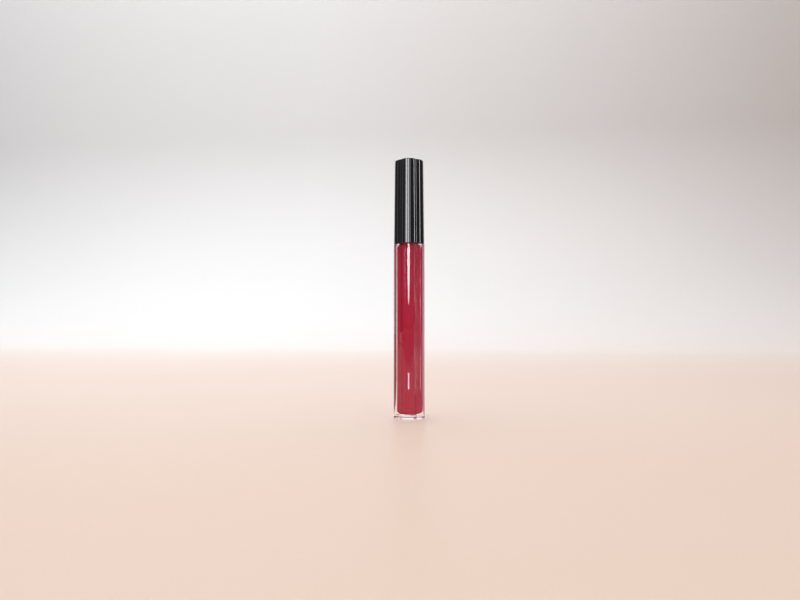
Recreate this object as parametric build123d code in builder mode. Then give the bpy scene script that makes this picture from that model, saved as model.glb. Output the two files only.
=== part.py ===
from build123d import *
import os
from math import atan, degrees

# A lip gloss tube: a clear bottle with five rounded lobes, a matching screw cap, and the wand that
# hangs from the cap. Millimetres, +Z up, origin on the axis where the bottle's foot rests.

# Overall sizes
total_height = 118.0
seam_height = 79.2
seam_gap = 0.15

# Outline shared by the bottle and the cap: five overlapping rounds, one of them towards -Y
lobe_count = 5
lobe_centre = 2.55
lobe_radius = 4.65
valley_fillet = 1.8
first_lobe_angle = -90

# Bottle
base_thickness = 2.2
foot_round = 0.35
shoulder_round = 0.2
bore_radius = 4.15
bore_corner = 0.8
bore_top = 78.2
neck_radius = 3.75
neck_bore = 3.0
neck_bore_start = 79.3
neck_height = 13.5
rim_chamfer = 0.25

# Thread: the bottle's ridge and the liner's ridge follow the same right-hand helix
thread_pitch = 2.5
thread_turns = 1.5
thread_rise = 3.6
thread_bite = 0.1
ridge_root_width = 1.3
ridge_crest_width = 0.5
bottle_ridge_crest = 4.15
liner_ridge_crest = 4.23

# Cap shell
cap_step = 0.1
cap_draft = 0.42
cap_wall = 0.8
cap_top_thickness = 1.2
cap_top_round = 0.4
cap_mouth_round = 0.15

# Cap liner
liner_lift = 0.4
liner_bore = 4.7
liner_radius = 5.25
liner_ceiling_thickness = 1.3
drive_rib_reach = 5.9
drive_rib_width = 1.2
socket_radius = 2.05
socket_depth = 8.9
boss_radius = 3.3
boss_length = 9.2
boss_rib_reach = 5.7
boss_rib_width = 0.9

# Wiper
flange_thickness = 0.8
wiper_radius = 2.98
wiper_wall = 0.45
wiper_length = 8.1
wiper_lip_length = 3.0
orifice_radius = 1.5
lip_wall = 0.3

# Gasket
gasket_thickness = 0.56
gasket_radius = 4.1
gasket_hole = 1.5
face_gap = 0.02

# Wand
stem_radius = 1.45
stem_head_radius = 1.8
stem_head_length = 8.6
stem_ring_radius = 2.0
stem_ring_count = 3
stem_ring_pitch = 2.4
stem_ring_width = 1.0
shank_socket_radius = 0.85
shank_socket_depth = 5.2
shank_radius = 0.82
shank_length = 5.0
tip_bottom = 8.0
tip_top = 21.0
tip_radius = 2.2
tip_sections = (
    # height, half width, half depth, shift towards +Y
    (tip_top, tip_radius, tip_radius, 0.0),
    (17.5, tip_radius, tip_radius, 0.0),
    (13.0, 2.1, 1.5, 0.55),
    (9.6, 1.7, 0.95, 1.0),
    (tip_bottom, 0.95, 0.5, 1.15),
)
flock_thickness = 0.35

# Gloss
fill_top = 80.5
wand_channel_radius = 2.7
wand_channel_bottom = 6.5

# Heights and angles that follow from the sizes above
neck_top = seam_height + neck_height
flange_top = neck_top + flange_thickness
gasket_bottom = flange_top + face_gap
ceiling = gasket_bottom + gasket_thickness + face_gap
boss_bottom = ceiling + liner_ceiling_thickness
cap_bottom = seam_height + seam_gap
cap_length = total_height - cap_bottom
cap_taper = degrees(atan(cap_draft / cap_length))
liner_bottom = seam_height + liner_lift


def lobed_outline(sketch, inset=0.0):
    # moving the outline inwards shrinks the rounds and widens the hollows between them
    with PolarLocations(lobe_centre, lobe_count, start_angle=first_lobe_angle):
        Circle(lobe_radius - inset)
    fillet(sketch.vertices().group_by(SortBy.DISTANCE)[0], valley_fillet + inset)


def thread_ridge(start_height, root_radius, crest_radius):
    # one helical ridge with a trapezoid section whose root is buried by the bite
    bite = thread_bite if crest_radius > root_radius else -thread_bite
    with BuildPart() as ridge:
        turn = Helix(pitch=thread_pitch, height=thread_pitch * thread_turns, radius=root_radius)
        section_plane = Plane(origin=turn @ 0, x_dir=(1, 0, 0), z_dir=turn % 0)
        with BuildSketch(section_plane):
            with BuildLine():
                Polyline(
                    (-bite, -ridge_root_width / 2),
                    (crest_radius - root_radius, -ridge_crest_width / 2),
                    (crest_radius - root_radius, ridge_crest_width / 2),
                    (-bite, ridge_root_width / 2),
                    close=True,
                )
            make_face()
        sweep(path=turn, is_frenet=True)
    return Pos(0, 0, start_height) * ridge.part


def cavity_section(top_height):
    # half section of the bottle's inside, from the axis out to the bore and up to the given height
    corner_start = (bore_radius - bore_corner, base_thickness)
    corner_end = (bore_radius, base_thickness + bore_corner)
    with BuildSketch(Plane.XZ) as section:
        with BuildLine():
            Line((0, base_thickness), corner_start)
            RadiusArc(corner_start, corner_end, -bore_corner)
            Polyline(
                corner_end,
                (bore_radius, bore_top),
                (neck_bore, neck_bore_start),
                (neck_bore, top_height),
                (0, top_height),
                (0, base_thickness),
            )
        make_face()
    return section.sketch


# Bottle: lobed body, round neck with its thread ridge, and a round bore that narrows into the neck
bottle_ridge = thread_ridge(seam_height + thread_rise, neck_radius, bottle_ridge_crest)
with BuildPart() as bottle:
    with BuildSketch() as bottle_outline:
        lobed_outline(bottle_outline)
    extrude(amount=seam_height)
    fillet(bottle.faces().sort_by(Axis.Z)[0].edges(), foot_round)
    fillet(bottle.faces().sort_by(Axis.Z)[-1].edges(), shoulder_round)
    with BuildSketch(Plane.XY.offset(seam_height)):
        Circle(neck_radius)
    extrude(amount=neck_height)
    chamfer(bottle.edges().sort_by(Axis.Z)[-1], rim_chamfer)
    add(bottle_ridge)
    revolve(cavity_section(neck_top), axis=Axis.Z, mode=Mode.SUBTRACT)
bottle.part.label = "bottle"
export_step(bottle.part, "parts/bottle.step")

# Gloss: fills the bore up into the neck and leaves the space that the wand takes up
with BuildPart() as gloss_fill:
    revolve(cavity_section(fill_top), axis=Axis.Z)
    with BuildSketch(Plane.XY.offset(wand_channel_bottom)):
        Circle(wand_channel_radius)
    extrude(amount=fill_top - wand_channel_bottom, mode=Mode.SUBTRACT)
gloss_fill.part.label = "gloss_fill"
export_step(gloss_fill.part, "parts/gloss_fill.step")

# Wiper: flange on the neck's rim, thin skirt in the neck, and a cone that ends in the orifice
skirt_bottom = neck_top - wiper_length
lip_bottom = skirt_bottom - wiper_lip_length
with BuildPart() as wiper:
    with BuildSketch(Plane.XZ):
        with BuildLine():
            Polyline(
                (wiper_radius - wiper_wall, flange_top),
                (neck_radius, flange_top),
                (neck_radius, neck_top),
                (wiper_radius, neck_top),
                (wiper_radius, skirt_bottom),
                (orifice_radius + lip_wall, lip_bottom),
                (orifice_radius, lip_bottom),
                (wiper_radius - wiper_wall, skirt_bottom + lip_wall),
                close=True,
            )
        make_face()
    revolve(axis=Axis.Z)
    chamfer(wiper.edges().group_by(Axis.Z)[-1], rim_chamfer)
wiper.part.label = "wiper"
export_step(wiper.part, "parts/wiper.step")

# Gasket: flat ring round the wand, between the wiper's flange and the liner's ceiling
with BuildPart() as gasket:
    with BuildSketch(Plane.XY.offset(gasket_bottom)):
        Circle(gasket_radius)
        Circle(gasket_hole, mode=Mode.SUBTRACT)
    extrude(amount=gasket_thickness)
gasket.part.label = "gasket"
export_step(gasket.part, "parts/gasket.step")

# Cap shell: the bottle's outline one step in, drafted towards a closed top, with an even wall
with BuildPart() as cap_shell:
    with BuildSketch(Plane.XY.offset(cap_bottom)) as cap_outline:
        lobed_outline(cap_outline, cap_step)
    extrude(amount=cap_length, taper=cap_taper)
    fillet(cap_shell.faces().sort_by(Axis.Z)[-1].edges(), cap_top_round)
    fillet(cap_shell.faces().sort_by(Axis.Z)[0].edges(), cap_mouth_round)
    with BuildSketch(Plane.XY.offset(cap_bottom)) as cap_inside:
        lobed_outline(cap_inside, cap_step + cap_wall)
    extrude(amount=cap_length - cap_top_thickness, taper=cap_taper, mode=Mode.SUBTRACT)
cap_shell.part.label = "cap_shell"
export_step(cap_shell.part, "parts/cap_shell.step")

# Cap liner: threaded cup over the neck, with drive ribs in the lobes and a boss for the wand
liner_ridge = thread_ridge(
    seam_height + thread_rise - thread_pitch / 2, liner_bore, liner_ridge_crest
)
with BuildPart() as cap_liner:
    with BuildSketch(Plane.XY.offset(liner_bottom)):
        Circle(liner_radius)
        with PolarLocations(drive_rib_reach / 2, lobe_count, start_angle=first_lobe_angle):
            Rectangle(drive_rib_reach, drive_rib_width)
    extrude(amount=boss_bottom - liner_bottom)
    with BuildSketch(Plane.XY.offset(liner_bottom)):
        Circle(liner_bore)
    extrude(amount=ceiling - liner_bottom, mode=Mode.SUBTRACT)
    add(liner_ridge)
    with BuildSketch(Plane.XY.offset(boss_bottom)):
        Circle(boss_radius)
        with PolarLocations(boss_rib_reach / 2, lobe_count, start_angle=first_lobe_angle):
            Rectangle(boss_rib_reach, boss_rib_width)
    extrude(amount=boss_length)
    with BuildSketch(Plane.XY.offset(ceiling)):
        Circle(socket_radius)
    extrude(amount=socket_depth, mode=Mode.SUBTRACT)
cap_liner.part.label = "cap_liner"
export_step(cap_liner.part, "parts/cap_liner.step")

# Stem: round rod with a ringed head in the liner's socket and a hollow end for the applicator
head_bottom = ceiling + face_gap
with BuildPart() as stem:
    with BuildSketch(Plane.XY.offset(tip_top + face_gap)):
        Circle(stem_radius)
    extrude(amount=head_bottom - tip_top - face_gap)
    with BuildSketch(Plane.XY.offset(head_bottom)):
        Circle(stem_head_radius)
    extrude(amount=stem_head_length)
    for ring in range(stem_ring_count):
        with BuildSketch(Plane.XY.offset(head_bottom + stem_ring_width + ring * stem_ring_pitch)):
            Circle(stem_ring_radius)
        extrude(amount=stem_ring_width)
    with BuildSketch(Plane.XY.offset(tip_top + face_gap)):
        Circle(shank_socket_radius)
    extrude(amount=shank_socket_depth, mode=Mode.SUBTRACT)
stem.part.label = "stem"
export_step(stem.part, "parts/stem.step")


def slanted_tip(inset):
    # round at the stem, then flatter and further towards +Y, moved inwards by the inset
    with BuildPart() as foot:
        for height, half_width, half_depth, shift in tip_sections:
            lowest = tip_bottom + inset
            with BuildSketch(Plane((0, shift, max(height, lowest)))):
                Ellipse(half_width - inset, half_depth - inset)
        loft()
    return foot.part


# Applicator core: a shank in the stem's end and a slanted foot
with BuildPart() as applicator_core:
    add(slanted_tip(flock_thickness))
    with BuildSketch(Plane.XY.offset(tip_top)):
        Circle(shank_radius)
    extrude(amount=shank_length)
applicator_core.part.label = "applicator_core"
export_step(applicator_core.part, "parts/applicator_core.step")

# Applicator flock: an even coat of short fibres round the core's foot
with BuildPart() as applicator_flock:
    add(slanted_tip(0))
    add(applicator_core.part, mode=Mode.SUBTRACT)
applicator_flock.part.label = "applicator_flock"
export_step(applicator_flock.part, "parts/applicator_flock.step")
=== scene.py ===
import math

import bpy
import numpy as np
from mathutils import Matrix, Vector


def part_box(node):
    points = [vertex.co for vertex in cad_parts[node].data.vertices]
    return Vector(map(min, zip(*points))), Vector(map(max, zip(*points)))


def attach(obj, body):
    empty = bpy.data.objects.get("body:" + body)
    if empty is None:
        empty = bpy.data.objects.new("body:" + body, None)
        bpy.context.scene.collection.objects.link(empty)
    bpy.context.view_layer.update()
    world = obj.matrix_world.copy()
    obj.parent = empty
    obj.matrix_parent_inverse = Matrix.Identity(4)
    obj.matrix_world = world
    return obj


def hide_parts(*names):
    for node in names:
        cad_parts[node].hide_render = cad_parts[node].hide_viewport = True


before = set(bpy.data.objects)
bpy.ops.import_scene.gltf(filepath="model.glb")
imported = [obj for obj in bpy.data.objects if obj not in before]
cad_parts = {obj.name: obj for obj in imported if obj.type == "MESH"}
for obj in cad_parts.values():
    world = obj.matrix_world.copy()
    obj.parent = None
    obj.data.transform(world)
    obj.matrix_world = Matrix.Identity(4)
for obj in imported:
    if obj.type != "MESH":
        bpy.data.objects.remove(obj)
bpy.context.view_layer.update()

mm = 0.001
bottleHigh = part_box("bottle")[1]
capLow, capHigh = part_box("cap_shell")
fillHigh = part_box("gloss_fill")[1]
wiperLow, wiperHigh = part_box("wiper")
gasketLow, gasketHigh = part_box("gasket")
linerLow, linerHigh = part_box("cap_liner")
stemLow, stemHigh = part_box("stem")

# Outline of the bottle and the cap: five overlapping rounds, one of them towards -Y
outline = {
    "lobes": 5,
    "lobeCentre": 2.55 * mm,
    "lobeRadius": 4.65 * mm,
    "valleyRound": 1.8 * mm,
    "firstLobe": -90,  # degrees
    "pointsPerLobe": 48,
}
around = np.linspace(0, 2 * math.pi, outline["lobes"] * outline["pointsPerLobe"], endpoint=False)

# The thread's ridge climbs to the right round the neck, and the liner has its own half a pitch lower
thread = {
    "pitch": 2.5 * mm,
    "turns": 1.5,
    "start": 3.6 * mm,  # above the seam
    "rootWidth": 1.3 * mm,
    "crestWidth": 0.5 * mm,
    "runOut": 14,  # degrees over which an end fades
}


# Distance from the axis to the outline in direction t: on a lobe a cos t + sqrt(R^2 - a^2 sin^2 t),
# between lobes the near side of the round that touches both, d cos u - sqrt(r^2 - d^2 sin^2 u).
def lobedRadius(angle, inset):
    centre = outline["lobeCentre"]
    lobe = outline["lobeRadius"] - inset
    valley = outline["valleyRound"] + inset
    half = math.pi / outline["lobes"]
    reach = lobe + valley
    valleyCentre = centre * math.cos(half) + np.sqrt(reach**2 - (centre * math.sin(half)) ** 2)
    touchX = centre + (valleyCentre * math.cos(half) - centre) * lobe / reach
    touchY = valleyCentre * math.sin(half) * lobe / reach
    t = lobeOffset(angle)
    u = half - t
    onLobe = centre * np.cos(t) + np.sqrt(np.maximum(lobe**2 - (centre * np.sin(t)) ** 2, 0))
    dip = np.sqrt(np.maximum(valley**2 - (valleyCentre * np.sin(u)) ** 2, 0))
    return np.where(t <= np.arctan2(touchY, touchX), onLobe, valleyCentre * np.cos(u) - dip)


# How far a direction is from the nearest lobe's own direction: the remainder after whole lobes, as a size.
def lobeOffset(angle):
    half = math.pi / outline["lobes"]
    return np.abs((angle - math.radians(outline["firstLobe"]) + half) % (2 * half) - half)


# A circle with a straight rib towards each lobe: the larger of the circle and the rib, and the rib ends
# where either its flat end, reach / cos t, or its side, half width / sin t, is met first.
def ribbedRadius(angle, circle, reach, width):
    t = lobeOffset(angle)
    rib = np.minimum(reach / np.cos(t), width / 2 / np.maximum(np.sin(t), 1e-6))
    return np.maximum(circle, rib)


# Height of the thread's ridge as a share of its crest: a trapezoid of the distance to the helix, whose
# height is start + pitch * turn / 360 degrees, faded where the helix begins and ends.
def ridgeShare(angle, height, start):
    share = np.zeros(np.broadcast(angle, height).shape)
    whole = 2 * math.pi * thread["turns"]
    fade = math.radians(thread["runOut"])
    slope = (thread["rootWidth"] - thread["crestWidth"]) / 2
    for lap in range(math.ceil(thread["turns"])):
        turn = angle + 2 * math.pi * lap
        distance = np.abs(height - start - thread["pitch"] * turn / (2 * math.pi))
        ridge = np.clip((thread["rootWidth"] / 2 - distance) / slope, 0, 1)
        ends = np.clip(turn / fade, 0, 1) * np.clip((whole - turn) / fade, 0, 1)
        share = np.maximum(share, ridge * ends)
    return share


# Points at a distance, direction and height: x = r cos t, y = r sin t, z = h, over the whole grid at once.
def polarGrid(radius, height):
    radius, angle, height = np.broadcast_arrays(radius, around[None, :], height)
    return np.stack([radius * np.cos(angle), radius * np.sin(angle), height], axis=2)


# A profile of (radius, height) pairs turned round the axis.
def turnedGrid(profile):
    profile = np.asarray(profile, float)
    return polarGrid(profile[:, :1], profile[:, 1:])


# Rows of the lobed outline, each with a height, an inset, and a scale about the axis.
def lobedGrid(rows):
    height, inset, scale = (column[:, None] for column in np.asarray(rows, float).T)
    return polarGrid(lobedRadius(around[None, :], inset) * scale, height)


# A round as (across, up) pairs: centre plus radius times the cosine and the sine of each step.
def arcSteps(centre, radius, startDegrees, endDegrees, count=7):
    steps = np.radians(np.linspace(startDegrees, endDegrees, count))
    return np.stack([centre[0] + radius * np.cos(steps), centre[1] + radius * np.sin(steps)], axis=1)


# A straight profile between two (across, up) pairs, in equal steps, without its first point.
def straightSteps(start, end, count):
    share = np.linspace(0, 1, count + 1)[1:, None]
    return np.asarray(start) * (1 - share) + np.asarray(end) * share


# Faces of a grid whose columns close on themselves: each point, its neighbour, and the two in the next row.
def gridFaces(rowCount, columns, looped):
    here = np.arange(columns)
    beside = (here + 1) % columns
    row = np.arange(rowCount if looped else rowCount - 1)[:, None] * columns
    following = (row + columns) % (rowCount * columns)
    return np.stack([row + here, row + beside, following + beside, following + here], axis=2).reshape(-1, 4)


# Faces of an open sheet of points: the same four corners, without the step from the last column to the first.
def sheetFaces(rowCount, columns):
    row = np.arange(rowCount - 1)[:, None] * columns
    here = (row + np.arange(columns - 1)[None, :]).reshape(-1)
    return np.stack([here, here + 1, here + columns + 1, here + columns], axis=1)


# Points and faces of a closed solid, from a grid whose first and last rows shrink to one point each: the
# rows between are a grid of four-sided faces, and a fan of triangles round each end point closes it.
def closedArrays(grid):
    inner = grid[1:-1]
    rowCount, columns = inner.shape[:2]
    points = np.vstack([inner.reshape(-1, 3), grid[0].mean(0), grid[-1].mean(0)])
    here = np.arange(columns)
    beside = (here + 1) % columns
    first, last, lastRow = len(points) - 2, len(points) - 1, (rowCount - 1) * columns
    firstFan = np.stack([np.full(columns, first), beside, here], axis=1)
    lastFan = np.stack([lastRow + here, lastRow + beside, np.full(columns, last)], axis=1)
    return points, [gridFaces(rowCount, columns, False), np.vstack([firstFan, lastFan])]


def closedMesh(name, grid):
    return putMesh(name, *closedArrays(grid))


# A closed ring from a profile that comes back to its own start.
def ringMesh(name, grid):
    return putMesh(name, grid.reshape(-1, 3), [gridFaces(grid.shape[0], grid.shape[1], True)])


# A new object at the origin, from points and arrays of faces; each array's faces have one number of corners.
def putMesh(name, points, faceArrays):
    mesh = bpy.data.meshes.new(name)
    corners = np.concatenate([faces.reshape(-1) for faces in faceArrays])
    sizes = np.concatenate([np.full(len(faces), faces.shape[1]) for faces in faceArrays])
    mesh.vertices.add(len(points))
    mesh.vertices.foreach_set("co", np.asarray(points, np.float32).reshape(-1))
    mesh.loops.add(len(corners))
    mesh.loops.foreach_set("vertex_index", corners.astype(np.int32))
    mesh.polygons.add(len(sizes))
    mesh.polygons.foreach_set("loop_start", (np.cumsum(sizes) - sizes).astype(np.int32))
    mesh.polygons.foreach_set("use_smooth", np.full(len(sizes), True))
    mesh.update(calc_edges=True)
    mesh.validate()
    piece = bpy.data.objects.new(name, mesh)
    bpy.context.scene.collection.objects.link(piece)
    return piece


# Edges sharper than the angle stay sharp while everything else is shaded smooth.
def sharpenEdges(piece, degrees=40):
    piece.data.set_sharp_from_angle(angle=math.radians(degrees))


# Gives a piece its material and the body that it rides on, and hides the CAD node that it stands for.
def finishPiece(piece, material, body, node):
    piece.data.materials.append(material)
    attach(piece, body)
    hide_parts(node)


camera = {
    "distance": 0.235,
    "height": 0.046,
    "azimuth": 5.45,  # degrees, from -Y towards +X
    "aside": 4.27 * mm,
    "pitch": 1.89,  # degrees upwards
    "sensor": 36,
    "lens": 22.95,
    "nearest": 0.01,
}


# The camera stands behind the axis by its distance, along its azimuth, and a little to the left of it:
# place = -forward * distance - right * aside.
def makeCamera():
    turn = math.radians(camera["azimuth"])
    forward = np.array([-math.sin(turn), math.cos(turn)])
    right = np.array([math.cos(turn), math.sin(turn)])
    place = -forward * camera["distance"] - right * camera["aside"]
    lens = bpy.data.cameras.new("camera")
    lens.sensor_width = camera["sensor"]
    lens.lens = camera["lens"]
    lens.clip_start = camera["nearest"]
    body = bpy.data.objects.new("camera", lens)
    body.location = (place[0], place[1], camera["height"])
    body.rotation_euler = (math.radians(90 + camera["pitch"]), 0, turn)
    bpy.context.scene.collection.objects.link(body)
    bpy.context.scene.camera = body


# Azimuths are degrees round the axis from the camera's side, positive to its right. Wide and high are
# the degrees that a panel spans, glow is the brightness of its face, and lit is the group that it lights.
softLights = {
    "windowLeft": {"azimuth": -31, "elevation": 16, "wide": 30, "high": 28, "glow": 3.0, "lit": "outside"},
    "windowRight": {"azimuth": 4, "elevation": 16, "wide": 32, "high": 28, "glow": 2.8, "lit": "outside"},
    "paneLeft": {"azimuth": -30, "elevation": 16, "wide": 9, "high": 28, "glow": 14, "lit": "outside"},
    "paneRight": {"azimuth": -8, "elevation": 16, "wide": 9, "high": 28, "glow": 14, "lit": "outside"},
    "leftStrip": {"azimuth": -81, "elevation": 14, "wide": 8, "high": 30, "glow": 1.2, "lit": "outside"},
    "sideStrip": {"azimuth": 69, "elevation": 17, "wide": 5, "high": 32, "glow": 16, "lit": "outside"},
    "wallEdge": {
        "azimuth": 69,
        "elevation": 0,
        "wide": 3,
        "high": 58,
        "glow": 9,
        "lit": "wall",
        "distance": 0.09,
        "aim": 0.05,
    },
    "wallPane": {
        "azimuth": -4,
        "elevation": 9,
        "wide": 26,
        "high": 16,
        "glow": 17,
        "lit": "wall",
        "round": True,
    },
    "wallGlint": {
        "azimuth": -3,
        "elevation": -6.9,
        "wide": 10,
        "high": 6.2,
        "glow": 17,
        "lit": "wall",
        "distance": 0.09,
        "aim": 0.018,
    },
    "wallLine": {
        "azimuth": -45,
        "elevation": 9,
        "wide": 6,
        "high": 16,
        "glow": 3,
        "lit": "wall",
        "round": True,
    },
    "fillLeft": {"azimuth": -58, "elevation": 10, "wide": 30, "high": 50, "glow": 3.2, "lit": "gloss"},
    "fillRight": {"azimuth": 80, "elevation": 10, "wide": 40, "high": 50, "glow": 3.2, "lit": "gloss"},
}
room = {
    "lightDistance": 1.0,
    "aim": 0.06,
    "ceilingSize": 3.0,
    "ceilingPower": 75,
    "ceilingPlace": (-0.35, 0.45, 1.9),
    "panelColour": (0.95, 0.97, 1.0),
    "airColour": (0.9, 0.93, 1.0, 1),
    "air": 0.12,
}


# A group of pieces that a panel lights and nothing else (INCLUDE), or leaves out (EXCLUDE).
def litPieces(name, pieces, state):
    group = bpy.data.collections.new(name)
    for piece in pieces:
        group.objects.link(bpy.data.objects[piece])
    for entry in group.collection_objects:
        entry.light_linking.link_state = state
    return group


# A panel stands at its distance from the axis and faces the aim height. Its sides are 2 d tan(span / 2),
# and its power is glow times pi times the area of its face.
def makeLights():
    # the clear wall, the gloss behind it and the pieces outside it each have their own panels
    notOutside = ["clearBottle", "redGloss", "backdrop", "darkReflectionSheet", "surround"]
    groups = {
        "outside": litPieces("outside", notOutside, "EXCLUDE"),
        "wall": litPieces("wall", ["clearBottle"], "INCLUDE"),
        "gloss": litPieces("gloss", ["redGloss"], "INCLUDE"),
    }
    for name, light in softLights.items():
        turn = math.radians(camera["azimuth"] + light["azimuth"])
        lift = math.radians(light["elevation"])
        away = np.array([math.sin(turn) * math.cos(lift), -math.cos(turn) * math.cos(lift), math.sin(lift)])
        lamp = bpy.data.lights.new(name, "AREA")
        lamp.shape = "ELLIPSE" if light.get("round") else "RECTANGLE"
        distance, aim = light.get("distance", room["lightDistance"]), light.get("aim", room["aim"])
        lamp.size = 2 * distance * math.tan(math.radians(light["wide"] / 2))
        lamp.size_y = 2 * distance * math.tan(math.radians(light["high"] / 2))
        face = lamp.size * lamp.size_y * (math.pi / 4 if light.get("round") else 1)
        lamp.energy = light["glow"] * math.pi * face
        lamp.color = room["panelColour"]
        body = bpy.data.objects.new(name, lamp)
        body.location = away * distance + np.array([0, 0, aim])
        body.rotation_euler = (math.radians(90) - lift, 0, turn)
        bpy.context.scene.collection.objects.link(body)
        body.light_linking.receiver_collection = groups[light["lit"]]
    top = bpy.data.lights.new("ceiling", "AREA")
    top.size = room["ceilingSize"]
    top.energy = room["ceilingPower"]
    over = bpy.data.objects.new("ceiling", top)
    over.location = room["ceilingPlace"]
    bpy.context.scene.collection.objects.link(over)
    world = bpy.data.worlds.new("room")
    world.use_nodes = True
    air = world.node_tree.nodes["Background"]
    air.inputs["Color"].default_value = room["airColour"]
    air.inputs["Strength"].default_value = room["air"]
    bpy.context.scene.world = world
    bpy.context.scene.view_settings.view_transform = "Standard"


# Glowing sheets behind the tube that show only through its clear wall: painted shade and light that give the
# wall its darker edges.
# Near and far are where a sheet's sides stand, in degrees from +Y towards +X; low and high are its colours
# below and above the change.
edgeGlows = {
    "rightEdgeGlow": {
        "near": (8, 62),
        "far": (28.3, 58),
        "low": (0.195, 0.016, 0.033),
        "high": (0.3, 0.11, 0.13),
    },
    "leftEdgeGlow": {
        "near": (-58, -8),
        "far": (-52, -31),
        "low": (0.48, 0.16, 0.23),
        "high": (0.45, 0.19, 0.25),
    },
}
edgeGlowShape = {
    "distances": (0.0085, 0.045, 0.045),
    "heights": (0.0004, 0.012, 0.1),
    "change": 0.0373,
    "blur": 0.002,
    "columns": 8,
}


# Points of a glowing sheet that leans out from the foot and then stands: x = distance sin t, y = distance cos
# t.
def makeEdgeGlows():
    columns = edgeGlowShape["columns"] + 1
    distances = np.array(edgeGlowShape["distances"])[:, None]
    heights = np.array(edgeGlowShape["heights"])[:, None]
    for name, edgeGlow in edgeGlows.items():
        near, far = (np.radians(np.linspace(*edgeGlow[side], columns)) for side in ("near", "far"))
        turns = np.stack([near, far, far])
        points = np.stack([distances * np.sin(turns), distances * np.cos(turns), heights + 0 * turns], axis=2)
        glowSheet = putMesh(name, points.reshape(-1, 3), [sheetFaces(len(heights), columns)])
        glowSheet.data.materials.append(paintedEdgeGlow(name, edgeGlow["low"], edgeGlow["high"]))
        glowSheet.visible_camera = glowSheet.visible_diffuse = glowSheet.visible_glossy = glowSheet.visible_shadow = False


# A sheet that only glows, painting the light and shade seen through the clear wall: its colour goes from low
# to high over the blur on both sides of the change.
def paintedEdgeGlow(name, low, high):
    black = {"Base Color": (0, 0, 0, 1), "Roughness": 1, "Specular IOR Level": 0, "Emission Strength": 1}
    material, tree, shader = newMaterial(name, black)
    change, blur = edgeGlowShape["change"], edgeGlowShape["blur"]
    share = heightAlong(tree, change - blur, change + blur)
    tree.links.new(blendColours(tree, share, low, high), shader.inputs["Emission Color"])
    return material


floor = {
    "front": -1.6,
    "bend": 0.5,
    "bendRadius": 0.5,
    "top": 1.8,
    "side": 1.3,
    "columns": 9,
    "height": -0.0002,
    "darkReflectionEdge": -0.17,
    "darkReflectionHeight": 0.0003,
    "roomRadius": 2.2,
    "roomHeight": -0.002,
    "roomTop": 3.0,
    # colours along the paper, from the front to the back
    "stops": [
        (-1.0, (0.8, 0.66, 0.57)),
        (-0.17, (0.79, 0.63, 0.53)),
        (0.1, (0.83, 0.68, 0.6)),
        (0.8, (0.94, 0.945, 0.95)),
    ],
    # colours along the dark sheet that only reflections show: a painted dark reflection of the shade in front
    "darkReflectionStops": [
        (-1.0, (0.16, 0.14, 0.13)),
        (-0.34, (0.16, 0.13, 0.12)),
        (-0.17, (0.79, 0.63, 0.53)),
    ],
    "paintedRightShade": (0.86, 0.8, 0.77),
    "wallTone": (0.93, 0.91, 0.9),
}


# A paper sweep: a line of (along, height) carried from side to side, x = side, y = along, z = height.
def makeSweep(name, line, material):
    across, along = np.meshgrid(np.linspace(-floor["side"], floor["side"], floor["columns"]), line[:, 0])
    height = np.repeat(line[:, 1:], floor["columns"], axis=1)
    points = np.stack([across, along, height], axis=2).reshape(-1, 3)
    sweep = putMesh(name, points, [sheetFaces(len(line), floor["columns"])])
    sweep.data.materials.append(material)
    return sweep


# The sweep behind the tube, a dark sheet that paints dark reflections in front of it, and a round room for
# the other views.
def makeBackdrop():
    radius, height = floor["bendRadius"], floor["height"]
    bend = np.array(arcSteps((floor["bend"], height + radius), radius, -90, 0, 24))
    line = np.vstack([[[floor["front"], height]], bend, [[floor["bend"] + radius, floor["top"]]]])
    makeSweep("backdrop", line, paperMaterial("backdropPaper", floor["stops"]))
    # a sheet seen only in reflections: painted dark reflection where the front has only shade
    flat = np.array([[floor["front"], floor["darkReflectionHeight"]], [floor["darkReflectionEdge"], floor["darkReflectionHeight"]]])
    darkReflectionSheet = makeSweep("darkReflectionSheet", flat, paperMaterial("paintedDarkReflection", floor["darkReflectionStops"]))
    darkReflectionSheet.visible_camera = darkReflectionSheet.visible_diffuse = darkReflectionSheet.visible_shadow = False
    reach, low, high = floor["roomRadius"], floor["roomHeight"], floor["roomTop"]
    corner = arcSteps((reach - radius, low + radius), radius, -90, 0, 16)
    surround = closedMesh("surround", turnedGrid([(0, low), *corner, (reach, high), (0, high)]))
    surround.data.materials.append(paperMaterial("surroundPaper", floor["stops"], floor["wallTone"]))
    surround.visible_diffuse = surround.visible_glossy = surround.visible_transmission = False
    surround.visible_shadow = surround.visible_volume_scatter = False


# A new material whose shader has these settings on its own sockets.
def newMaterial(name, settings):
    material = bpy.data.materials.new(name)
    material.use_nodes = True
    shader = material.node_tree.nodes["Principled BSDF"]
    for socket, value in settings.items():
        shader.inputs[socket].default_value = value
    return material, material.node_tree, shader


# A node whose inputs are set: a socket is linked to it, and any other value is put in.
def addNode(tree, kind, inputs=None, **settings):
    node = tree.nodes.new(kind)
    for key, value in settings.items():
        setattr(node, key, value)
    for key, value in (inputs or {}).items():
        if isinstance(value, bpy.types.NodeSocket):
            tree.links.new(value, node.inputs[key])
        else:
            node.inputs[key].default_value = value
    return node


# A cloudy pattern fixed to the piece: size is the width of its clouds, stretch widens them along each axis.
def cloudPattern(tree, size, stretch=(1, 1, 1), detail=2.0, roughness=0.5):
    place = addNode(tree, "ShaderNodeTexCoord")
    scale = tuple(1 / (size * way) for way in stretch)
    mapping = addNode(tree, "ShaderNodeMapping", {"Vector": place.outputs["Object"], "Scale": scale})
    noise = addNode(
        tree,
        "ShaderNodeTexNoise",
        {"Vector": mapping.outputs[0], "Scale": 1.0, "Detail": detail, "Roughness": roughness},
    )
    return noise.outputs["Fac"]


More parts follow.
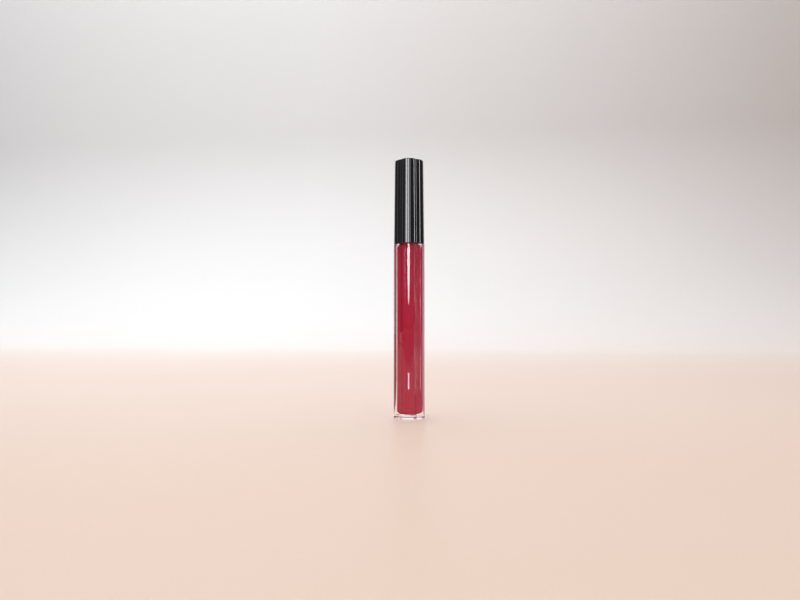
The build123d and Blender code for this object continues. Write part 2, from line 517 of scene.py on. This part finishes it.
# Cells of one size, as the distance to the nearest cell edge or, with another feature, to the cell's middle.
def cellPattern(tree, size, stretch=(1, 1, 1), feature="DISTANCE_TO_EDGE"):
    place = addNode(tree, "ShaderNodeTexCoord")
    scale = tuple(1 / (size * way) for way in stretch)
    mapping = addNode(tree, "ShaderNodeMapping", {"Vector": place.outputs["Object"], "Scale": scale})
    inputs = {"Vector": mapping.outputs[0], "Scale": 1.0}
    cells = addNode(tree, "ShaderNodeTexVoronoi", inputs, feature=feature)
    return cells.outputs["Distance"]


# Carries a value from one range to another, held inside the second.
def spread(tree, value, fromLow, fromHigh, toLow, toHigh):
    settings = {"Value": value, "From Min": fromLow, "From Max": fromHigh, "To Min": toLow, "To Max": toHigh}
    return addNode(tree, "ShaderNodeMapRange", settings).outputs[0]


# Mixes two colours by a share, or joins them in another way; each is a socket or a plain colour.
def blendColours(tree, share, first, second, way="MIX"):
    inputs = {0: share, 6: (*first, 1) if isinstance(first, tuple) else first}
    inputs[7] = (*second, 1) if isinstance(second, tuple) else second
    return addNode(tree, "ShaderNodeMix", inputs, data_type="RGBA", blend_type=way).outputs[2]


# One operation on two values, such as their sum or product.
def joinValues(tree, first, second, way):
    return addNode(tree, "ShaderNodeMath", {0: first, 1: second}, operation=way).outputs[0]


# How far up a point is between two heights, from 0 to 1.
def heightAlong(tree, low, high):
    place = addNode(tree, "ShaderNodeTexCoord")
    split = addNode(tree, "ShaderNodeSeparateXYZ", {0: place.outputs["Object"]})
    return spread(tree, split.outputs["Z"], low, high, 0, 1)


# Bumps the shading: a height from 0 to 1 stands for that share of the depth.
def raiseSurface(tree, shader, height, depth, strength=1.0):
    bump = addNode(tree, "ShaderNodeBump", {"Height": height, "Distance": depth, "Strength": strength})
    tree.links.new(bump.outputs[0], shader.inputs["Normal"])


# Paper whose colour changes along Y between the stops, with painted shade towards the right, and with height
# where a wall tone is given.
def paperMaterial(name, stops, wallTone=None):
    material, tree, shader = newMaterial(name, {"Roughness": 0.4, "Specular IOR Level": 0.15})
    place = addNode(tree, "ShaderNodeTexCoord")
    split = addNode(tree, "ShaderNodeSeparateXYZ", {0: place.outputs["Object"]})
    low, high = stops[0][0], stops[-1][0]
    ramp = addNode(tree, "ShaderNodeValToRGB", {0: spread(tree, split.outputs["Y"], low, high, 0, 1)})
    colours = ramp.color_ramp
    colours.interpolation = "EASE"
    colours.elements[0].color = (*stops[0][1], 1)
    colours.elements[1].color = (*stops[-1][1], 1)
    for along, colour in stops[1:-1]:
        colours.elements.new((along - low) / (high - low)).color = (*colour, 1)
    # painted shade: the right-hand side is a little darker and warmer, in place of light falling off there
    toRight = spread(tree, split.outputs["X"], -0.3, 0.8, 0, 1)
    toned = blendColours(tree, toRight, ramp.outputs[0], floor["paintedRightShade"], "MULTIPLY")
    if wallTone:
        toned = blendColours(tree, heightAlong(tree, 0.02, 0.7), toned, wallTone)
    fibres = spread(tree, cloudPattern(tree, 0.4 * mm, detail=4), 0.3, 0.7, 0.985, 1.0)
    grain = addNode(tree, "ShaderNodeCombineColor", {0: fibres, 1: fibres, 2: fibres}).outputs[0]
    tree.links.new(blendColours(tree, 1.0, toned, grain, "MULTIPLY"), shader.inputs["Base Color"])
    return material


# Clear moulded plastic with haze, hairlines, and the slow waves of a thick wall.
def clearPlastic():
    material, tree, shader = newMaterial(
        "clearPlastic", {"Base Color": (0.99, 0.97, 0.97, 1), "Transmission Weight": 1.0, "IOR": 1.57}
    )
    # hairline scratches are a little rougher than the polished wall between them
    scratches = spread(tree, cellPattern(tree, 3 * mm, (1, 1, 6)), 0.0, 0.006, 1, 0)
    haze = spread(tree, cloudPattern(tree, 4 * mm, (1, 1, 3)), 0.35, 0.7, 0.01, 0.025)
    rough = joinValues(tree, haze, joinValues(tree, scratches, 0.03, "MULTIPLY"), "ADD")
    tree.links.new(rough, shader.inputs["Roughness"])
    raiseSurface(tree, shader, cloudPattern(tree, 7 * mm, (1, 1, 4), detail=0), 0.004 * mm)
    return material


# Dense pigment in long soft streaks, with painted shade behind the valleys.
def redGloss():
    material, tree, shader = newMaterial("redGloss", {"Roughness": 0.4, "Specular IOR Level": 0.0})
    streaks = spread(tree, cloudPattern(tree, 2.5 * mm, (1, 1, 4), detail=3), 0.3, 0.7, 0, 1)
    pigment = blendColours(tree, streaks, (0.36, 0.015, 0.038), (0.42, 0.02, 0.048))
    # painted shade darkens the gloss behind the valleys: the cosine of the lobes' turn is lowest there
    place = addNode(tree, "ShaderNodeTexCoord")
    split = addNode(tree, "ShaderNodeSeparateXYZ", {0: place.outputs["Object"]})
    turn = joinValues(tree, split.outputs["Y"], split.outputs["X"], "ARCTAN2")
    fromLobe = joinValues(tree, turn, math.radians(outline["firstLobe"]), "SUBTRACT")
    wave = joinValues(tree, joinValues(tree, fromLobe, outline["lobes"], "MULTIPLY"), 0, "COSINE")
    paintedValleyShade = spread(tree, wave, -1, -0.7, 1, 0)
    pigment = blendColours(tree, paintedValleyShade, pigment, (0.28, 0.01, 0.028))
    tree.links.new(pigment, shader.inputs["Base Color"])
    raiseSurface(tree, shader, streaks, 0.02 * mm, 0.4)
    return material


# Polished black with faint clouds and hairlines.
def blackGloss():
    material, tree, shader = newMaterial("blackGloss", {"IOR": 1.5})
    clouds = cloudPattern(tree, 5 * mm, (1, 1, 3), detail=3)
    share = spread(tree, clouds, 0.3, 0.7, 0, 1)
    black = blendColours(tree, share, (0.0035, 0.0032, 0.0036), (0.006, 0.0056, 0.006))
    tree.links.new(black, shader.inputs["Base Color"])
    scratches = spread(tree, cellPattern(tree, 2.5 * mm, (1, 1, 5)), 0.0, 0.008, 0.05, 0)
    rough = joinValues(tree, spread(tree, clouds, 0.3, 0.7, 0.05, 0.075), scratches, "ADD")
    tree.links.new(rough, shader.inputs["Roughness"])
    raiseSurface(tree, shader, cloudPattern(tree, 0.5 * mm, detail=1), 0.0004 * mm)
    return material


# Plastic that the gloss has wetted up to a height: there a red film thickens in patches.
def wettedPlastic(name, settings, bare, film, wetTop, wetFade, roughBare):
    material, tree, shader = newMaterial(name, settings)
    clouds = cloudPattern(tree, 1.6 * mm, (1, 1, 3), detail=4, roughness=0.6)
    height = heightAlong(tree, wetTop, wetTop - wetFade)
    patches = joinValues(tree, joinValues(tree, clouds, 0.5, "SUBTRACT"), height, "ADD")
    wet = spread(tree, patches, 0.35, 0.6, 0, 1)
    grain = spread(tree, cloudPattern(tree, 0.3 * mm, detail=3), 0.3, 0.7, 0, 1)
    dry = blendColours(tree, grain, bare, tuple(0.9 * part for part in bare))
    thick = blendColours(tree, clouds, film, tuple(0.55 * part for part in film))
    tree.links.new(blendColours(tree, wet, dry, thick), shader.inputs["Base Color"])
    tree.links.new(spread(tree, wet, 0, 1, roughBare, 0.12), shader.inputs["Roughness"])
    drops = joinValues(tree, clouds, wet, "MULTIPLY")
    bumps = joinValues(tree, drops, joinValues(tree, grain, 0.05, "MULTIPLY"), "ADD")
    raiseSurface(tree, shader, bumps, 0.06 * mm, 0.6)
    return material


# Plastic of two close tones, whose grain changes the roughness by 15 percent either way.
def satinPlastic(name, first, second, rough, grainSize):
    material, tree, shader = newMaterial(name, {"IOR": 1.5})
    grain = spread(tree, cloudPattern(tree, grainSize, detail=4), 0.3, 0.7, 0, 1)
    tree.links.new(blendColours(tree, grain, first, second), shader.inputs["Base Color"])
    tree.links.new(spread(tree, grain, 0, 1, rough * 0.85, rough * 1.15), shader.inputs["Roughness"])
    raiseSurface(tree, shader, grain, 0.006 * mm, 0.5)
    return material


# Fine foam: round cells that are paler away from their middles.
def foamMaterial():
    material, tree, shader = newMaterial(
        "gasketFoam", {"Roughness": 0.8, "Subsurface Weight": 0.2, "Subsurface Scale": 0.3 * mm}
    )
    cells = spread(tree, cellPattern(tree, 0.16 * mm, feature="SMOOTH_F1"), 0.1, 0.6, 0, 1)
    foam = blendColours(tree, cells, (0.62, 0.61, 0.6), (0.86, 0.85, 0.83))
    tree.links.new(foam, shader.inputs["Base Color"])
    raiseSurface(tree, shader, cells, 0.03 * mm)
    return material


bottle = {
    "seam": 79.2 * mm,
    "footRound": 0.35 * mm,
    "shoulderRound": 0.2 * mm,
    "base": 2.2 * mm,
    "bore": 4.15 * mm,
    "boreCorner": 0.8 * mm,
    "boreTop": 78.2 * mm,
    "neck": 3.75 * mm,
    "neckBore": 3.0 * mm,
    "neckBoreStart": 79.3 * mm,
    "rim": 0.25 * mm,
    "ridgeCrest": 4.15 * mm,
}


# One line from the middle of the foot up the outside, over the shoulder and the threaded neck, and down
# the bore to its floor. Outside, a row is the lobed outline less an inset; on the neck it is a circle
# plus the thread's ridge.
def makeBottle():
    seam, top = bottle["seam"], bottleHigh.z
    foot, shoulder = bottle["footRound"], bottle["shoulderRound"]
    bore, base, corner = bottle["bore"], bottle["base"], bottle["boreCorner"]
    footRows = [(up, foot - across, 1) for across, up in arcSteps((0, foot), foot, -90, 0)]
    wallRows = [(height, 0, 1) for height in np.linspace(foot, seam - shoulder, 24)[1:-1]]
    shoulderArc = arcSteps((0, seam - shoulder), shoulder, 0, 90)
    shoulderRows = [(up, shoulder - across, 1) for across, up in shoulderArc]
    body = lobedGrid([(0, foot, 0), (0, foot, 0.5), *footRows, *wallRows, *shoulderRows])
    # on the shoulder the outline closes in on the round neck
    share = np.array([0.35, 0.7])[:, None]
    edge = lobedRadius(around[None, :], shoulder)
    ledge = polarGrid(edge * (1 - share) + bottle["neck"] * share, seam)
    heights = np.linspace(seam, top - bottle["rim"], 120)[:, None]
    ridge = ridgeShare(around[None, :], heights, seam + thread["start"])
    neck = polarGrid(bottle["neck"] + (bottle["ridgeCrest"] - bottle["neck"]) * ridge, heights)
    inside = turnedGrid(
        [
            (bottle["neck"] - bottle["rim"], top),
            (bottle["neckBore"], top),
            *straightSteps((bottle["neckBore"], top), (bottle["neckBore"], bottle["neckBoreStart"]), 8),
            (bore, bottle["boreTop"]),
            *straightSteps((bore, bottle["boreTop"]), (bore, base + corner), 20),
            *arcSteps((bore - corner, base + corner), corner, 0, -90, 10)[1:],
            (bore * 0.3, base),
            (0, base),
        ]
    )
    piece = closedMesh("clearBottle", np.vstack([body, ledge, neck, inside]))
    sharpenEdges(piece)
    # the clear wall lets lamp light through to the gloss and to the floor under the base
    piece.visible_shadow = False
    finishPiece(piece, clearPlastic(), "bottle", "bottle")


gloss = {"contact": 0.03 * mm}  # the gloss wets the bore, so it reaches a little into the wall


# The bore's line moved outwards by the contact, turned round the axis and closed at the fill's top.
def makeGloss():
    wet, neckBore = gloss["contact"], bottle["neckBore"]
    base, corner, bore = bottle["base"], bottle["boreCorner"], bottle["bore"]
    profile = [
        (0, base - wet),
        (bore * 0.3, base - wet),
        *arcSteps((bore - corner, base + corner), corner + wet, -90, 0, 10),
        *straightSteps((bore + wet, base + corner), (bore + wet, bottle["boreTop"]), 20),
        (neckBore + wet, bottle["neckBoreStart"]),
        (neckBore + wet, fillHigh.z),
        (0, fillHigh.z),
    ]
    piece = closedMesh("redGloss", turnedGrid(profile))
    sharpenEdges(piece)
    finishPiece(piece, redGloss(), "bottle", "gloss_fill")


wiper = {
    "outer": 2.98 * mm,
    "wall": 0.45 * mm,
    "flange": 3.75 * mm,
    "flangeThickness": 0.8 * mm,
    "flangeRound": 0.2 * mm,
    "lipLength": 3.0 * mm,
    "orifice": 1.5 * mm,
    "lipWall": 0.3 * mm,
}


# A closed line turned round the axis: flange, straight skirt, cone down to the lip, and back up inside.
def makeWiper():
    top, bottom = wiperHigh.z, wiperLow.z
    outer, inner, rounding = wiper["outer"], wiper["outer"] - wiper["wall"], wiper["flangeRound"]
    under, skirt = top - wiper["flangeThickness"], bottom + wiper["lipLength"]
    orifice, lipWall = wiper["orifice"], wiper["lipWall"]
    profile = [
        *arcSteps((inner + rounding, top - rounding), rounding, 180, 90),
        *arcSteps((wiper["flange"] - rounding, top - rounding), rounding, 90, 0),
        (wiper["flange"], under),
        (outer, under),
        *straightSteps((outer, under), (outer, skirt), 8),
        *straightSteps((outer, skirt), (orifice + lipWall, bottom), 4),
        *arcSteps((orifice + lipWall / 2, bottom + lipWall / 2), lipWall / 2, -60, -180, 6),
        *straightSteps((orifice, bottom + lipWall / 2), (inner, skirt + lipWall), 5),
        *straightSteps((inner, skirt + lipWall), (inner, top - rounding), 8)[:-1],
    ]
    piece = ringMesh("neckWiper", turnedGrid(profile)[::-1])
    sharpenEdges(piece)
    material = wettedPlastic(
        "wiperPlastic",
        {"Subsurface Weight": 0.3, "Subsurface Scale": 0.5 * mm},
        (0.8, 0.79, 0.76),
        (0.42, 0.015, 0.035),
        top,
        4 * mm,
        0.35,
    )
    finishPiece(piece, material, "bottle", "wiper")


cap = {
    "step": 0.1 * mm,
    "draft": 0.42 * mm,
    "wall": 0.8 * mm,
    "topThickness": 1.2 * mm,
    "topRound": 0.4 * mm,
    "mouthRound": 0.15 * mm,
}


# Outside, the lobed outline less an inset that grows with height; inside, the same less the wall as well.
def makeCap():
    low, high = capLow.z, capHigh.z
    topRound, mouthRound, wall = cap["topRound"], cap["mouthRound"], cap["wall"]

    # the inset grows evenly from the step at the mouth to step + draft at the top
    def drafted(height):
        return cap["step"] + cap["draft"] * (height - low) / (high - low)

    inner = high - cap["topThickness"]
    topArc = arcSteps((0, high - topRound), topRound, 90, 0, 9)
    mouthArc = arcSteps((0, low + mouthRound), mouthRound, 0, -90)
    wallHeights = np.linspace(high - topRound, low + mouthRound, 14)[1:-1]
    rows = [
        (high, drafted(high) + topRound, 0),
        (high, drafted(high) + topRound, 0.5),
        *[(up, drafted(high) + topRound - across, 1) for across, up in topArc],
        *[(height, drafted(height), 1) for height in wallHeights],
        *[(up, drafted(low) + mouthRound - across, 1) for across, up in mouthArc],
        *[(height, drafted(height) + wall, 1) for height in np.linspace(low, inner, 10)],
        (inner, drafted(inner) + wall, 0.5),
        (inner, drafted(inner) + wall, 0),
    ]
    piece = closedMesh("capShell", lobedGrid(rows[::-1]))
    sharpenEdges(piece)
    finishPiece(piece, blackGloss(), "cap", "cap_shell")


liner = {
    "bore": 4.7 * mm,
    "outer": 5.25 * mm,
    "ridgeCrest": 4.23 * mm,
    "driveReach": 5.9 * mm,
    "driveWidth": 1.2 * mm,
    "boss": 3.3 * mm,
    "bossLength": 9.2 * mm,
    "bossReach": 5.7 * mm,
    "bossWidth": 0.9 * mm,
    "socket": 2.05 * mm,
    "socketDepth": 8.9 * mm,
    "ceilingThickness": 1.3 * mm,
}


# Outside, ribbed circles for the boss and the cup; inside, a circle less the thread's ridge, then the socket.
def makeLiner():
    low, high = linerLow.z, linerHigh.z
    shelf = high - liner["bossLength"]
    ceiling = shelf - liner["ceilingThickness"]
    bossEdge = ribbedRadius(around[None, :], liner["boss"], liner["bossReach"], liner["bossWidth"])
    cupEdge = ribbedRadius(around[None, :], liner["outer"], liner["driveReach"], liner["driveWidth"])
    outside = np.vstack(
        [
            polarGrid(bossEdge * np.array([[0], [0.5], [1]]), high),
            polarGrid(bossEdge, np.linspace(high, shelf, 8)[1:, None]),
            polarGrid(cupEdge, np.linspace(shelf, low, 12)[:, None]),
        ]
    )
    heights = np.linspace(low, ceiling, 130)[:, None]
    start = bottle["seam"] + thread["start"] - thread["pitch"] / 2
    ridge = ridgeShare(around[None, :], heights, start)
    bore = polarGrid(liner["bore"] - (liner["bore"] - liner["ridgeCrest"]) * ridge, heights)
    socketTop = ceiling + liner["socketDepth"]
    socket = turnedGrid(
        [
            (liner["socket"], ceiling),
            *straightSteps((liner["socket"], ceiling), (liner["socket"], socketTop), 6),
            (0, socketTop),
        ]
    )
    piece = closedMesh("capLiner", np.vstack([outside, bore, socket])[::-1])
    sharpenEdges(piece)
    material = satinPlastic("linerPlastic", (0.018, 0.018, 0.019), (0.026, 0.026, 0.027), 0.38, 0.4 * mm)
    finishPiece(piece, material, "cap", "cap_liner")


gasket = {"outer": 4.1 * mm, "hole": 1.5 * mm, "round": 0.08 * mm}


# A flat ring with four rounded edges, as a closed line turned round the axis.
def makeGasket():
    low, high, rounding = gasketLow.z, gasketHigh.z, gasket["round"]
    inner, outer = gasket["hole"], gasket["outer"]
    profile = [
        *arcSteps((inner + rounding, high - rounding), rounding, 180, 90, 4),
        *arcSteps((outer - rounding, high - rounding), rounding, 90, 0, 4),
        *arcSteps((outer - rounding, low + rounding), rounding, 0, -90, 4),
        *arcSteps((inner + rounding, low + rounding), rounding, -90, -180, 4),
    ]
    piece = ringMesh("sealGasket", turnedGrid(profile)[::-1])
    finishPiece(piece, foamMaterial(), "gasket", "gasket")


stem = {
    "radius": 1.45 * mm,
    "headRadius": 1.8 * mm,
    "headLength": 8.6 * mm,
    "ringRadius": 2.0 * mm,
    "ringCount": 3,
    "ringPitch": 2.4 * mm,
    "ringWidth": 1.0 * mm,
    "socket": 0.85 * mm,
    "socketDepth": 5.2 * mm,
    "endRound": 0.15 * mm,
}


# A line from the socket's end down its wall, round the rod's end, up the rod and over the head's rings.
def makeStem():
    low, high = stemLow.z, stemHigh.z
    radius, head, ring, rounding = stem["radius"], stem["headRadius"], stem["ringRadius"], stem["endRound"]
    headLow = high - stem["headLength"]
    socketTop = low + stem["socketDepth"]
    profile = [
        (0, socketTop),
        (stem["socket"], socketTop),
        *straightSteps((stem["socket"], socketTop), (stem["socket"], low), 4),
        *arcSteps((radius - rounding, low + rounding), rounding, -90, 0),
        *straightSteps((radius, low + rounding), (radius, headLow), 30),
        (head, headLow),
    ]
    for number in range(stem["ringCount"]):
        ringLow = headLow + stem["ringWidth"] + number * stem["ringPitch"]
        ringHigh = ringLow + stem["ringWidth"]
        profile += [(head, ringLow), (ring, ringLow), (ring, ringHigh), (head, ringHigh)]
    profile += [*arcSteps((head - rounding, high - rounding), rounding, 0, 90), (0, high)]
    piece = closedMesh("wandStem", turnedGrid(profile))
    sharpenEdges(piece)
    material = wettedPlastic(
        "stemPlastic", {"IOR": 1.5}, (0.014, 0.013, 0.014), (0.3, 0.01, 0.025), 84 * mm, 30 * mm, 0.14
    )
    finishPiece(piece, material, "stem", "stem")


# The tip is round at the stem, then flatter and further towards +Y
tip = {
    "bottom": 8.0 * mm,
    # height, half width, half depth, shift towards +Y
    "sections": [
        (8.0, 0.95, 0.5, 1.15),
        (9.6, 1.7, 0.95, 1.0),
        (13.0, 2.1, 1.5, 0.55),
        (17.5, 2.2, 2.2, 0),
        (21.0, 2.2, 2.2, 0),
    ],
    "shank": 0.82 * mm,
    "shankLength": 5.0 * mm,
    "flock": 0.35 * mm,
    "coatInset": 0.2 * mm,
    "endRound": 0.45 * mm,
    "topGap": 0.05 * mm,
    "fibres": 5200,
    "fibreWidth": 0.035 * mm,
    "fibreRoot": 0.04 * mm,  # how far a fibre starts below the coat
    "seed": 7,
}


# A smooth curve through the sections: between two of them a cubic whose slopes are those of their neighbours.
def tipSection(height):
    sections = np.array(tip["sections"]) * mm
    known = sections[:, 0]
    slopes = np.gradient(sections[:, 1:], known, axis=0)
    slopes[-1] = 0
    place = np.clip(np.searchsorted(known, height) - 1, 0, len(known) - 2)
    step = known[place + 1] - known[place]
    t = ((height - known[place]) / step)[:, None]
    start, end = sections[place, 1:], sections[place + 1, 1:]
    lead = slopes[place] * step[:, None]
    tail = slopes[place + 1] * step[:, None]
    between = start * (1 + 2 * t) * (1 - t) ** 2 + end * t**2 * (3 - 2 * t)
    return between + lead * t * (1 - t) ** 2 - tail * t**2 * (1 - t)


# Points of the tip moved in by an inset: x = (w - i) cos t, y = shift + (d - i) sin t.
def tipPoints(angle, height, inset):
    halfWidth, halfDepth, shift = tipSection(height).T
    x = np.maximum(halfWidth - inset, 0.1 * mm) * np.cos(angle)
    y = shift + np.maximum(halfDepth - inset, 0.1 * mm) * np.sin(angle)
    return np.stack([x, y, height], axis=-1)


# Rows of tip points, one row for each height.
def tipGrid(heights, inset):
    return np.stack([tipPoints(around, np.full_like(around, height), inset) for height in heights])


# The tip's surface moved in by the flock and shut flat below, with a round shank on top for the stem.
def makeTipCore():
    inset, top = tip["flock"], tip["sections"][-1][0] * mm
    heights = np.linspace(tip["bottom"] + inset, top, 30)
    foot = tipGrid(heights, inset)
    middle = foot[:1].mean(axis=1, keepdims=True)
    end = middle + (foot[:1] - middle) * np.array([0, 0.5])[:, None, None]
    shankTop = top + tip["shankLength"]
    shank = turnedGrid([(tip["shank"], top), (tip["shank"], shankTop), (0, shankTop)])
    piece = closedMesh("tipCore", np.vstack([end, foot, shank]))
    sharpenEdges(piece)
    material = satinPlastic("tipPlastic", (0.74, 0.72, 0.69), (0.82, 0.8, 0.77), 0.45, 0.3 * mm)
    finishPiece(piece, material, "cap", "applicator_core")


# Fibres stand on the coat: each is a three-sided spike from its root along the coat's normal, leaning
# a little down the tip, and its corners are the root plus width times two directions across it.
def fibreArrays(roots, normals):
    maker = np.random.default_rng(tip["seed"])
    count = len(roots)
    lean = maker.normal(0, 0.3, (count, 3)) + np.array([0, 0, -0.35])
    along = normals + lean
    along /= np.linalg.norm(along, axis=1, keepdims=True)
    length = (tip["flock"] - tip["coatInset"]) * maker.uniform(0.75, 1.05, (count, 1)) + tip["fibreRoot"]
    sideways = np.cross(along, maker.normal(0, 1, (count, 3)))
    sideways /= np.linalg.norm(sideways, axis=1, keepdims=True)
    other = np.cross(along, sideways)
    turns = np.radians([0, 120, 240])
    ring = sideways[:, None] * np.cos(turns)[:, None] + other[:, None] * np.sin(turns)[:, None]
    width = tip["fibreWidth"] / 2
    base = (roots - along * tip["fibreRoot"])[:, None] + ring * width
    crown = (roots + along * length)[:, None] + ring * width * 0.55
    points = np.concatenate([base, crown], axis=1).reshape(-1, 3)
    start = np.arange(count)[:, None] * 6
    sides = np.concatenate([start + np.array([[i, (i + 1) % 3, (i + 1) % 3 + 3, i + 3]]) for i in range(3)])
    ends = np.concatenate([start + np.array([[2, 1, 0]]), start + np.array([[3, 4, 5]])])
    return points, sides, ends


# The coat is the tip's surface moved in by its own inset and closed, and the fibres stand on it.
def makeFlock():
    maker = np.random.default_rng(tip["seed"] + 1)
    bottom, top, inset = tip["bottom"], tip["sections"][-1][0] * mm, tip["coatInset"]
    rounding = tip["endRound"]
    # the coat's lower end is rounded, its upper end stops flat under the stem
    turn = np.linspace(math.pi / 2, 0, 8)
    endInset = inset + rounding * (1 - np.cos(turn))
    endHeight = bottom + inset + rounding * (1 - np.sin(turn))
    endRows = np.concatenate([tipGrid([height], depth) for height, depth in zip(endHeight, endInset)])
    heights = np.linspace(bottom + inset + rounding, top - tip["topGap"], 34)[1:]
    wall = tipGrid(heights, inset)
    close = endRows[:1].mean(axis=1, keepdims=True)
    shut = wall[-1:].mean(axis=1, keepdims=True)
    lid = shut + (wall[-1:] - shut) * np.array([0.5, 0])[:, None, None]
    points, faces = closedArrays(np.vstack([close + 0 * endRows[:1], endRows, wall, lid]))
    # roots are spread evenly by area: rows nearer the thin end get fewer
    reach = top - bottom - inset - 0.3 * mm
    rootHeight = bottom + inset + 0.12 * mm + reach * maker.uniform(0, 1, tip["fibres"]) ** 0.85
    rootAngle = maker.uniform(0, 2 * math.pi, tip["fibres"])
    near = np.clip((rootHeight - bottom - inset) / rounding, 0, 1)
    depth = inset + rounding * (1 - np.sqrt(np.maximum(1 - (1 - near) ** 2, 0)))
    roots = tipPoints(rootAngle, rootHeight, depth)
    step = 0.05 * mm
    beyond = tipPoints(rootAngle + 0.01, rootHeight, depth) - roots
    above = tipPoints(rootAngle, rootHeight + step, np.maximum(depth - step * (1 - near), inset)) - roots
    normals = np.cross(beyond, above)
    normals /= np.linalg.norm(normals, axis=1, keepdims=True)
    fibrePoints, sides, ends = fibreArrays(roots, normals)
    faces += [sides + len(points), ends + len(points)]
    piece = putMesh("tipFlock", np.vstack([points, fibrePoints]), faces)
    sharpenEdges(piece, 60)
    material = wettedPlastic(
        "flockFibre", {"Sheen Weight": 0.2}, (0.82, 0.76, 0.74), (0.5, 0.02, 0.045), 26 * mm, 5 * mm, 0.7
    )
    finishPiece(piece, material, "cap", "applicator_flock")


makeCamera()
makeBackdrop()
makeEdgeGlows()
print("camera and backdrop ready")
makeBottle()
makeGloss()
makeWiper()
print("bottle, gloss and wiper ready")
makeCap()
makeLiner()
makeGasket()
print("cap, liner and gasket ready")
makeStem()
makeTipCore()
makeFlock()
print("wand ready")
makeLights()
print("lights ready")
